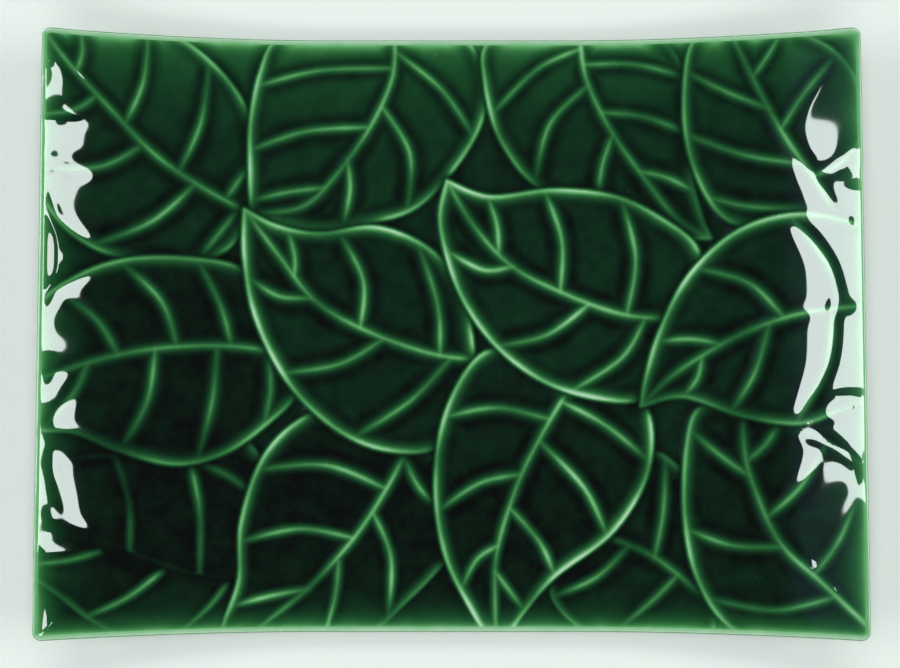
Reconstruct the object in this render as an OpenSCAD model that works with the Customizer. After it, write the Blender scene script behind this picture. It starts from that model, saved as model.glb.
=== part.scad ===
// Rectangular serving platter of green-glazed earthenware with leaves in relief.
// X runs along the length, Y along the depth and Z up.
// The origin lies on the table, under the middle of the foot ring.

/* [Platter] */
// Length over the two raised ends
platter_l = 350; // [300:1:420]
// Depth from the front edge to the back edge
platter_w = 260; // [220:1:320]
// Thickness of the clay slab
slab_t = 6; // [4:0.5:10]
// Corner radius in plan
corner_r = 4; // [3:0.5:12]
// Width of the lip round the edge
lip_w = 2.4; // [1.5:0.1:2.8]
// Height of the lip over the slab
lip_h = 1.2; // [0.6:0.1:2]

/* [Raised ends] */
// Length of the flat middle of the floor
flat_l = 100; // [80:1:160]
// Radius of the bend from the floor to an end, on the upper face
bend_r = 380; // [220:5:460]
// Slope of the raised ends in degrees
end_slope = 16; // [8:1:24]

/* [Foot ring] */
// Outer length of the foot ring
foot_l = 214; // [150:1:240]
// Outer depth of the foot ring
foot_w = 164; // [120:1:200]
// Width of the ring's wall
foot_wall = 7; // [4:0.5:10]
// Height of the foot under the flat floor
foot_h = 3; // [2:0.5:6]
// Outer corner radius of the foot ring
foot_r = 20; // [12:1:40]

/* [Leaves] */
// Thickness of a leaf blade on the slab
blade_t = 0.8; // [0.5:0.1:1.5]
// Height of a midrib over its blade
midrib_h = 1.1; // [0.4:0.1:2]
// Width of a midrib
midrib_w = 5; // [3:0.5:7]
// Height of a side vein over its blade
vein_h = 0.7; // [0.3:0.1:1.5]
// Width of a side vein
vein_w = 3; // [2:0.5:4]
// Height of the raised leaf margin over its blade
margin_h = 0.8; // [0.3:0.1:1.5]
// Width of the raised leaf margin
margin_w = 3.2; // [2:0.2:4]

/* [Hidden] */
$fn = 256;
glaze_colour = "#1f5a33";
dark_glaze_colour = "#173d26";
clay_colour = "#c9a184";
// Size of the sheet that the leaves are drawn on, which stretches with the platter
sheet_l = 350;
sheet_w = 260;
floor_z = foot_h + slab_t;
bend_reach = bend_r * sin(end_slope);
end_rise = bend_r * (1 - cos(end_slope)) + (platter_l / 2 - flat_l / 2) * tan(end_slope);
tall = floor_z + end_rise + bend_r / 2;
// Height of the flat underside that a leaf is drawn down to before it is cut to the slab
root_z = foot_h + slab_t / 2;
// Steps round the bend of an end
bend_steps = 14;
// Steps along a drawn curve
curve_steps = 60;
// Greatest step along a leaf margin from one rung to the next
rung_step = 7;
// How far a leaf is drawn past its outline before it is trimmed
skirt = 3;
// Depth of the layer over the slab that holds the leaves
leaf_layer = 2 * (blade_t + midrib_h + vein_h + margin_h);

// A leaf is [base, tip, midrib, left margin, right margin, left veins, right veins].
// Left and right are seen from above, looking from base to tip; a vein is its start, middle and end.
top_left = [
    [-90, 53], [-178, 134],
    [[-110, 64], [-130, 78], [-150, 99], [-165, 116]],
    [[-97, 38], [-115, 30], [-140, 32], [-155, 37], [-168, 48], [-177, 66], [-184, 100]],
    [[-85, 68], [-86, 85], [-93, 103], [-106, 119], [-122, 130], [-150, 140]],
    [[[-95, 52], [-102, 43], [-111, 31]], [[-112, 65], [-130, 48], [-154, 37]],
     [[-136, 80], [-152, 70.8], [-177, 68.5]], [[-154, 101], [-163, 94.5], [-181, 91]]],
    [[[-98, 60], [-94, 66], [-86, 77]], [[-118.5, 71], [-110, 92], [-106.5, 119]],
     [[-141, 91.5], [-134.3, 109.5], [-132, 135]], [[-161, 112], [-159, 122], [-161.5, 139]]]
];
top_centre_left = [
    [-25, 131], [-88, 52],
    [[-26.3, 113], [-36, 91], [-52, 68.5], [-66, 55.5]],
    [[-5, 137], [9, 127], [15, 110], [13, 93], [2, 74], [-15, 56], [-35, 49], [-62, 46]],
    [[-50, 139], [-76, 131], [-84.7, 115], [-88.7, 92], [-88.7, 70]],
    [[[-25, 125], [-4.5, 108], [10, 87]], [[-30.5, 100], [-18.3, 79], [-19.5, 53]],
     [[-46, 77], [-44.8, 63], [-47.8, 47]]],
    [[[-27, 117.5], [-60, 116.2], [-86.5, 109]], [[-38, 91], [-65, 89], [-90, 80]],
     [[-57, 64], [-72, 62], [-88, 58]]]
];
top_centre_right = [
    [57, 131], [113, 41],
    [[60, 112], [70.3, 90], [85, 68], [99.5, 49]],
    [[77, 138], [95, 127], [103, 112], [106, 90], [105, 70], [109, 51]],
    [[35, 139], [15.7, 128], [14.8, 112], [18.7, 93], [25.3, 79.5], [35.5, 67], [58, 51], [85, 43]],
    [[[59, 119], [81, 118.9], [102, 113]], [[67, 97.5], [85, 95.3], [106, 87]],
     [[83, 71], [95, 68], [106, 62]]],
    [[[57, 126], [38, 117], [18, 97]], [[61, 110], [43.7, 92.7], [37, 67]],
     [[71.5, 88], [66.3, 72], [64, 49]]]
];
top_right = [
    [168, 42], [120, 137],
    [[156, 65], [143, 87], [131, 112]],
    [[145, 44], [122, 48], [110, 63], [103, 87], [103, 113], [107, 129]],
    [[176, 58], [178, 76], [176, 93], [173.5, 104], [169, 114], [160, 124], [145, 131]],
    [[[158, 52], [131, 54.2], [112, 59]], [[152, 72], [128, 77], [103, 87]],
     [[138, 97], [121.5, 104.8], [104, 114.5]]],
    [[[155.5, 66.5], [166, 71.5], [177, 85]], [[143, 88], [151.5, 101.5], [163, 116]],
     [[132, 112], [137, 119], [144, 131]]]
];
centre_right = [
    [95, 6], [-2, 67],
    [[75, 8], [50, 17], [27, 29], [10, 47]],
    [[97, -15], [83, -29], [60, -28], [38, -20], [18, -4], [3, 19], [-5, 48]],
    [[108, 20], [107, 37], [92, 50], [72, 60], [45, 63], [17, 60]],
    [[[85, 6], [74.6, -11.2], [52, -26]], [[60, 12], [42, -1], [20, -6]],
     [[27, 29], [14, 27.6], [-2, 36]]],
    [[[77, 8], [81, 33], [75, 59]], [[48, 18], [48.6, 41], [41, 63]],
     [[21, 36], [20, 48], [16, 60]]]
];
left = [
    [-78, -8], [-188, -26],
    [[-100, -6], [-125, -7], [-150, -12]],
    [[-68, -25], [-82, -41], [-100, -53], [-120, -57], [-142, -51], [-160, -43], [-177, -41]],
    [[-80, 15], [-93, 28], [-115, 32], [-140, 31], [-160, 23], [-176, 8]],
    [[[-80, -8], [-79, -25], [-82, -41]], [[-102, -6], [-104, -30], [-110, -56]],
     [[-128, -7], [-131, -30], [-142, -51]], [[-155, -13.5], [-160, -26], [-171, -41]]],
    [[[-96, -6], [-101, 12], [-111, 32]], [[-119, -6], [-125.8, 13.3], [-142, 29.5]],
     [[-143, -10], [-152, 5], [-167, 17]]]
];
centre_left = [
    [10, -12], [-91, 54],
    [[-10, -9], [-38, 1], [-60, 14], [-76, 34]],
    [[8, -32], [-6, -50], [-30, -51], [-52, -41], [-72, -21], [-86, 7], [-91, 34]],
    [[6, 12], [-7, 34.5], [-32, 46.3], [-58, 43.6], [-77, 47]],
    [[[0, -11], [-18, -30], [-43, -46]], [[-30, -3], [-49, -13.8], [-74, -18]],
     [[-62, 15], [-76, 16], [-89, 24]]],
    [[[-5, -10], [-6, 12], [-15, 40]], [[-40, 2], [-38.8, 23], [-49.5, 44]],
     [[-69, 25], [-69, 34], [-72, 45]]]
];
right = [
    [184, 11], [83, -32],
    [[152, 8], [128, 0], [108, -11], [94, -21]],
    [[187, -12], [176, -28], [163, -34.5], [148, -39.5], [125, -36], [101, -28]],
    [[188, 37], [174, 44.5], [150, 50.5], [125, 44], [104, 25], [91, 0], [85, -20]],
    [[[162, 9.5], [159.5, -14], [147.5, -39]], [[137, 3], [130.8, -18], [121, -34.5]],
     [[109, -11], [107, -20], [101, -28]]],
    [[[164.5, 10], [160, 29], [146, 49.5]], [[143, 6], [129, 21], [107, 28]],
     [[116, -5], [104, -3], [90, -4]]]
];
lower_left = [
    [-84, -73], [-190, -58],
    [[-96, -63], [-115, -55], [-145, -53]],
    [[-82, -98], [-97, -106], [-118, -102], [-142, -92], [-160, -83], [-178, -73]],
    [[-82, -58], [-100, -40], [-140, -30], [-175, -40]],
    [[[-113, -56], [-108.7, -78], [-108.5, -104]], [[-144, -53], [-138, -74], [-137.5, -94]],
   [[-169.5, -53], [-166, -64], [-161, -83]]],
    []
];
bottom_left = [
    [-80, -98], [-190, -88],
    [[-105, -101], [-135, -98], [-160, -91]],
    [[-76, -125], [-100, -136], [-130, -133], [-150, -124], [-164, -112], [-177, -101]],
    [[-85, -85], [-120, -75], [-165, -72]],
    [[[-92, -101], [-103.5, -117.5], [-119, -131]], [[-122, -101], [-138, -113.5], [-157, -122]],
     [[-150, -94], [-162, -97], [-179, -98]]],
    []
];
bottom_centre_left = [
    [-18, -48], [-100, -142],
    [[-27, -66], [-42, -89], [-62, -111], [-82, -127]],
    [[4, -66], [4, -90], [-7, -104], [-20, -117], [-34, -129], [-65, -142]],
    [[-40, -32], [-63, -36.7], [-81.2, -53.5], [-91.2, -82], [-92, -107], [-98.5, -127]],
    [[[-20, -56], [-13, -69], [4, -84]], [[-34, -79], [-26.3, -98], [-27.3, -124]],
     [[-49, -100], [-50.8, -116], [-57.5, -140]]],
    [[[-29, -68], [-55, -58], [-85, -60]], [[-43, -89.5], [-66, -85.6], [-92, -91]],
     [[-62, -111.5], [-78, -114.3], [-95, -118.5]]]
];
bottom_centre = [
    [50, -27], [20, -138],
    [[40, -44], [29, -66], [20, -95], [19, -118]],
    [[72, -20], [86, -36], [85, -62], [70, -87], [45, -106], [31, -122]],
    [[32, -10], [13, -10], [-2, -34], [-7, -65], [-3, -96], [9, -121]],
    [[[48, -30], [68, -41], [86, -56]], [[39, -48], [58, -68], [68, -89]],
     [[26, -77], [38.6, -91.6], [45, -106]], [[19, -104], [25, -112], [32, -121]]],
    [[[43, -38], [20, -33], [-3, -37]], [[30, -62], [12, -66], [-6, -78]],
     [[20, -93], [11, -99], [4, -112]]]
];
bottom_centre_right = [
    [114, -118], [56, -82],
    [[103, -109], [87, -97], [71, -90]],
    [[108, -135], [80, -140], [57, -129], [44, -115], [45, -98]],
    [[118, -95], [108, -70], [96, -57], [86, -53], [66, -62]],
    [[[98, -105], [86.3, -117], [68, -132]], [[77, -93], [63, -106.5], [44, -115]]],
    [[[88, -98], [92, -78], [93, -56]]]
];
bottom_right = [
    [180, -130], [126, -34],
    [[157, -107], [140, -90], [129, -64], [126, -48]],
    [[150, -141], [120, -127], [106, -106], [101, -80], [102, -50], [108, -33]],
    [[186, -95], [182, -66], [171, -55.5], [162, -49], [148, -41]],
    [[[162, -112], [138, -119], [111, -115]], [[142, -92], [121, -92], [101, -85]],
     [[128, -62], [117, -54], [103, -42]]],
    [[[153, -104], [163.5, -88], [173, -63]], [[136, -79], [149, -66], [160, -46]],
     [[128, -55], [135, -48.5], [141.5, -38]]]
];
// The leaves as they lie on each other, the lowest first
LAYERS = [
    bottom_left, lower_left, top_left, bottom_centre_right, top_centre_left, top_centre_right, top_right,
    left, bottom_centre_left, bottom_right, centre_left, bottom_centre, centre_right, right
];

// A point of the drawn sheet, on the platter
function placed(p) = [p.x * platter_l / sheet_l, p.y * platter_w / sheet_w];

// Height of the slab's upper face at a distance x from the middle
function face_z(x) =
    let (past = abs(x) - flat_l / 2)
    past <= 0 ? floor_z :
    past <= bend_reach ? floor_z + bend_r - sqrt(bend_r * bend_r - past * past) :
    floor_z + bend_r * (1 - cos(end_slope)) + (past - bend_reach) * tan(end_slope);

// A point on the smooth curve through p, at step s counted in points
function on_curve(p, s) =
    let (i = min(floor(s), len(p) - 2), t = s - i)
    let (a = p[max(i - 1, 0)], b = p[i], c = p[i + 1], d = p[min(i + 2, len(p) - 1)])
    b + (c - a) * t / 2 + (2 * a - 5 * b + 4 * c - d) * t * t / 2 + (3 * b - a - 3 * c + d) * t * t * t / 2;

// The smooth curve through p as a list of placed points
function drawn(p) = [for (k = [0 : curve_steps]) placed(on_curve(p, k * (len(p) - 1) / curve_steps))];

// Running length at each point of a curve
function run(c) = [
    for (i = 0, s = 0; i < len(c); s = s + norm(c[min(i + 1, len(c) - 1)] - c[i]), i = i + 1) s
];

// The point at a fraction f of a curve's length
function along(c, f) =
    let (r = run(c), key = f * r[len(r) - 1])
    [for (axis = [0, 1]) lookup(key, [for (i = [0 : len(c) - 1]) [r[i], c[i][axis]]])];

// The fraction of a curve's length that lies nearest to the point p
function nearest(c, p) =
    let (r = run(c), d = [for (q = c) norm(q - p)], i = search(min(d), d)[0])
    r[i] / r[len(r) - 1];

function sorted(v) =
    len(v) < 2 ? v :
    concat(sorted([for (x = v) if (x < v[0]) x]), [v[0]], sorted([for (x = v) if (x > v[0]) x]));

// How far the middle of a vein stands to the left of its straight chord
function vein_bow(vein) =
    let (a = placed(vein[0]), m = placed(vein[1]), b = placed(vein[2]), d = b - a)
    cross(d, m - a) / norm(d);

// One side of a leaf as [midrib fraction, margin fraction, bow, ridge], from base to tip
function side_table(midrib, margin, veins) =
    let (mid_step = vein_w / 2 / max(run(midrib)), edge_step = vein_w / 2 / max(run(margin)))
    concat(
        [[0, 0, 0, 0]],
        [for (v = veins)
            let (u = nearest(midrib, placed(v[0])), w = nearest(margin, placed(v[2])))
            for (k = [-1 : 1]) [u + k * mid_step, w + k * edge_step, vein_bow(v), 1 - abs(k)]],
        [[1, 1, 0, 0]]);

function read_table(table, u, column) = lookup(u, [for (row = table) [row[0], row[column]]]);

// Points [x, y, height over the slab] of one rung, from the midrib out past the margin
function rung(midrib, margin, table, u) =
    let (a = along(midrib, u), b = along(margin, read_table(table, u, 1)), reach = norm(b - a))
    let (bow = max(min(read_table(table, u, 2), reach / 6), -reach / 6))
    let (side = [a.y - b.y, b.x - a.x] / reach * bow)
    let (ridge = vein_h * read_table(table, u, 3), foot = min(midrib_w / 2 / reach, 0.35))
    let (crest = max(1 - margin_w / 2 / reach, 0.8), edge = max(1 - margin_w / reach, 0.6))
    let (stops = [foot, (foot + edge) / 2, edge, crest, 1, 1 + skirt / reach])
    let (heights = [ridge, ridge, ridge, margin_h, 0, 0])
    [for (k = [0 : 5])
        let (q = stops[k], p = a + q * (b - a) + 4 * q * max(1 - q, 0) * side)
        [p.x, p.y, blade_t + heights[k]]];

// Midrib fractions from one to the next, with more between them where a margin runs far
function spaced(stops, left_table, left_run, right_table, right_run) = [
    for (i = [0 : len(stops) - 2])
        let (a = stops[i], b = stops[i + 1])
        let (left_gap = (read_table(left_table, b, 1) - read_table(left_table, a, 1)) * left_run)
        let (right_gap = (read_table(right_table, b, 1) - read_table(right_table, a, 1)) * right_run)
        let (parts = ceil(max(left_gap, right_gap) / rung_step))
        for (k = [1 : parts]) a + (b - a) * k / parts
];

// All rungs of a leaf, each from past the left margin over the midrib to past the right margin
function rungs(leaf) =
    let (midrib = drawn(concat([leaf[0]], leaf[2], [leaf[1]])))
    let (left_edge = drawn(concat([leaf[0]], leaf[3], [leaf[1]])))
    let (right_edge = drawn(concat([leaf[0]], leaf[4], [leaf[1]])))
    let (left_table = side_table(midrib, left_edge, leaf[5]))
    let (right_table = side_table(midrib, right_edge, leaf[6]))
    let (stops = sorted([for (t = [left_table, right_table], row = t) row[0]]))
    [for (u = spaced(stops, left_table, max(run(left_edge)), right_table, max(run(right_edge))))
        if (u < 1)
            let (m = along(midrib, u), l = rung(midrib, left_edge, left_table, u))
            let (r = rung(midrib, right_edge, right_table, u))
            concat([for (k = [5 : -1 : 0]) l[k]], [[m.x, m.y, blade_t + midrib_h * (1 - u / 2)]], r)];

// The outline of a leaf in plan, one column in from the ends of its rungs
function outline(leaf) =
    let (rows = rungs(leaf), last = len(rows) - 1, edge = len(rows[0]) - 2)
    concat(
        [placed(leaf[0])],
        [for (r = [0 : last]) [rows[r][edge].x, rows[r][edge].y]],
        [placed(leaf[1])],
        [for (r = [last : -1 : 0]) [rows[r][1].x, rows[r][1].y]]);

// The end point of a leaf, drawn out past it along the line from the point behind
function drawn_out(end, behind) = end + skirt * (end - behind) / norm(end - behind);

function raised(p) = [p.x, p.y, face_z(p.x) + p.z];
function rooted(p) = [p.x, p.y, root_z];

// Do the plan boxes of two outlines meet?
function boxes_meet(a, b) =
    let (ax = [for (p = a) p.x], ay = [for (p = a) p.y], bx = [for (p = b) p.x], by = [for (p = b) p.y])
    min(ax) < max(bx) && min(bx) < max(ax) && min(ay) < max(by) && min(by) < max(ay);

// Section line at a height over the slab's upper face, from the middle of the floor out past one end
function section_line(height) =
    let (r = bend_r - height, start = [flat_l / 2, floor_z + bend_r])
    let (bend = [for (k = [0 : bend_steps])
        let (a = end_slope * k / bend_steps)
        start + r * [sin(a), -cos(a)]])
    concat([[0, floor_z + height]], bend, [bend[bend_steps] + platter_l * [cos(end_slope), sin(end_slope)]]);

// A plate that follows the floor and the raised ends, between two heights over the slab's upper face
module plate(low, high) {
    under = section_line(low);
    over = section_line(high);
    last = len(under) - 1;
    right_half = concat(under, [for (k = [last : -1 : 1]) over[k]]);
    left_half = concat(over, [for (k = [last : -1 : 1]) under[k]]);
    rotate([90, 0, 0]) linear_extrude(2 * platter_w, center = true)
        polygon(concat(right_half, [for (p = left_half) [-p.x, p.y]]));
}

// A rectangle with round corners
module rounded_plan(l, w, r) {
    square([l - 2 * r, w], center = true);
    square([l, w - 2 * r], center = true);
    for (x = [-1, 1], y = [-1, 1]) translate([x * (l / 2 - r), y * (w / 2 - r)]) circle(r);
}

// A leaf before it is trimmed, from a flat root up to its veins
module leaf_block(leaf) {
    rows = rungs(leaf);
    n = len(rows);
    w = len(rows[0]);
    base = drawn_out(placed(leaf[0]), placed(leaf[2][0]));
    tip = drawn_out(placed(leaf[1]), placed(leaf[2][len(leaf[2]) - 1]));
    base_top = n * w;
    tip_top = base_top + 1;
    base_root = base_top + 2;
    tip_root = base_top + 3;
    roots = base_top + 4;
    points = concat(
        [for (row = rows, p = row) raised(p)],
        [raised([base.x, base.y, blade_t]), raised([tip.x, tip.y, blade_t]), rooted(base), rooted(tip)],
        [for (row = rows, p = [row[0], row[w - 1]]) rooted(p)]);
    upper = [
        for (r = [0 : n - 2], c = [0 : w - 2])
            let (i = r * w + c)
            for (face = [[i, i + w, i + w + 1], [i, i + w + 1, i + 1]]) face
    ];
    ends = [
        for (c = [0 : w - 2])
            let (i = (n - 1) * w + c)
            for (face = [[base_top, c, c + 1], [i, tip_top, i + 1]]) face
    ];
    under = concat(
        [[base_root, roots + 1, roots], [roots + 2 * n - 2, roots + 2 * n - 1, tip_root]],
        [for (r = [0 : n - 2])
            let (i = roots + 2 * r)
            for (face = [[i, i + 1, i + 3], [i, i + 3, i + 2]]) face]);
    left_top = concat([base_top], [for (r = [0 : n - 1]) r * w], [tip_top]);
    left_root = concat([base_root], [for (r = [0 : n - 1]) roots + 2 * r], [tip_root]);
    right_top = concat([base_top], [for (r = [0 : n - 1]) r * w + w - 1], [tip_top]);
    right_root = concat([base_root], [for (r = [0 : n - 1]) roots + 2 * r + 1], [tip_root]);
    walls = [
        for (r = [0 : n])
            for (face = [
                [left_root[r], left_root[r + 1], left_top[r + 1]],
                [left_root[r], left_top[r + 1], left_top[r]],
                [right_root[r], right_top[r], right_top[r + 1]],
                [right_root[r], right_top[r + 1], right_root[r + 1]]
            ]) face
    ];
    polyhedron(points, concat(upper, ends, under, walls), convexity = 8);
}

// The part of a leaf that shows in plan: inside the lip and clear of the leaves that lie over it
module shown(layer) {
    own = outline(LAYERS[layer]);
    difference() {
        intersection() {
            polygon(own);
            rounded_plan(platter_l - 2 * lip_w, platter_w - 2 * lip_w, corner_r - lip_w);
        }
        for (over = [layer + 1 : 1 : len(LAYERS) - 1]) {
            other = outline(LAYERS[over]);
            if (boxes_meet(own, other)) polygon(other);
        }
    }
}

// A leaf seated on the slab
module seated_leaf(layer) {
    intersection() {
        leaf_block(LAYERS[layer]);
        linear_extrude(tall) shown(layer);
        plate(0, leaf_layer);
    }
}

module clay_slab() {
    color(dark_glaze_colour) difference() {
        intersection() {
            plate(-slab_t, lip_h);
            linear_extrude(tall) rounded_plan(platter_l, platter_w, corner_r);
        }
        intersection() {
            plate(0, leaf_layer);
            linear_extrude(tall)
                rounded_plan(platter_l - 2 * lip_w, platter_w - 2 * lip_w, corner_r - lip_w);
        }
    }
}

module foot_ring() {
    color(clay_colour) difference() {
        linear_extrude(floor_z + end_rise) difference() {
            rounded_plan(foot_l, foot_w, foot_r);
            rounded_plan(foot_l - 2 * foot_wall, foot_w - 2 * foot_wall, foot_r - foot_wall);
        }
        plate(-slab_t, floor_z + end_rise);
    }
}

module leaf_bottom_left() { color(glaze_colour) seated_leaf(0); }
module leaf_lower_left() { color(glaze_colour) seated_leaf(1); }
module leaf_top_left() { color(glaze_colour) seated_leaf(2); }
module leaf_bottom_centre_right() { color(glaze_colour) seated_leaf(3); }
module leaf_top_centre_left() { color(glaze_colour) seated_leaf(4); }
module leaf_top_centre_right() { color(glaze_colour) seated_leaf(5); }
module leaf_top_right() { color(glaze_colour) seated_leaf(6); }
module leaf_left() { color(glaze_colour) seated_leaf(7); }
module leaf_bottom_centre_left() { color(glaze_colour) seated_leaf(8); }
module leaf_bottom_right() { color(glaze_colour) seated_leaf(9); }
module leaf_centre_left() { color(glaze_colour) seated_leaf(10); }
module leaf_bottom_centre() { color(glaze_colour) seated_leaf(11); }
module leaf_centre_right() { color(glaze_colour) seated_leaf(12); }
module leaf_right() { color(glaze_colour) seated_leaf(13); }

clay_slab();
foot_ring();
leaf_bottom_left();
leaf_lower_left();
leaf_top_left();
leaf_bottom_centre_right();
leaf_top_centre_left();
leaf_top_centre_right();
leaf_top_right();
leaf_left();
leaf_bottom_centre_left();
leaf_bottom_right();
leaf_centre_left();
leaf_bottom_centre();
leaf_centre_right();
leaf_right();
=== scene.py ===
"""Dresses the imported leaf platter: glazed leaf relief, rim and underside, foot ring, studio and camera."""

import logging
from collections.abc import Callable, Iterable
from dataclasses import dataclass, field
from enum import Enum

import bpy
import numpy as np
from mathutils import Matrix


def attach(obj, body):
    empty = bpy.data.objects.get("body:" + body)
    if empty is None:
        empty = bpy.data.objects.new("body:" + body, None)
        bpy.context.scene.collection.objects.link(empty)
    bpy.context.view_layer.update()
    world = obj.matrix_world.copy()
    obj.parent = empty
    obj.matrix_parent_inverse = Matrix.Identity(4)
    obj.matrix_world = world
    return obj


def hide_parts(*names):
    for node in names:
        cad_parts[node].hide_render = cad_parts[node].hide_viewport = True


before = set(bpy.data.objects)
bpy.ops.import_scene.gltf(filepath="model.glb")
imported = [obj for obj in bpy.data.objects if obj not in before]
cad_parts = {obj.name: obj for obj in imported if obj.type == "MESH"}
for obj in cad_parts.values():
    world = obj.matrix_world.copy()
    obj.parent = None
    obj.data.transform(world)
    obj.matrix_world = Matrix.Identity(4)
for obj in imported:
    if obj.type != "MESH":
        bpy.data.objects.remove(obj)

LOG = logging.getLogger("platter")
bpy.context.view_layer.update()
MM = 0.001
IMAGE_WIDTH = 900
SENSOR_MM = 36.0
OUTLINE_STEPS, MIDRIB_STEPS, VEIN_STEPS = 48, 40, 14
WELD_DIGITS = 4
FAR_OUTSIDE = -99.0
TINY = 1e-12
HALVES = (slice(0, -1), slice(1, None))
Array = np.ndarray
Point = tuple[float, float]
Line = tuple[float, ...]
Path = tuple[Array, Array]
Socket = bpy.types.NodeSocket
Material = bpy.types.Material


class Layer(Enum):
    """What a cell of the relief belongs to when no leaf covers it."""

    GROUND = -1


@dataclass(frozen=True)
class Crests:
    """How far each kind of ridge comes through the glaze, from 0, drowned, to 1, almost bare."""

    midrib: float
    left: float
    right: float
    vein: float


@dataclass(frozen=True)
class Leaf:
    """One leaf of the relief, drawn in plan in millimetres, each line as x and y of one point after another.

    Left and right are seen from above, looking from base to tip. A vein is its start, middle and end. The
    panel is how thin the glaze lies between the ridges, and bold scales how far the ridges or veins swell.
    """

    name: str
    base: Point
    tip: Point
    midrib: Line
    left: Line
    right: Line
    veins: tuple[Line, ...]
    crests: Crests
    panel: float
    bold: float = 1.0
    vein_bold: float = 1.0

    def curve(self, line: Line, steps: int = OUTLINE_STEPS) -> Array:
        """Smooth curve from the base along one of the leaf's lines to the tip."""
        return smooth_curve(self.base + line + self.tip, steps)


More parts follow.
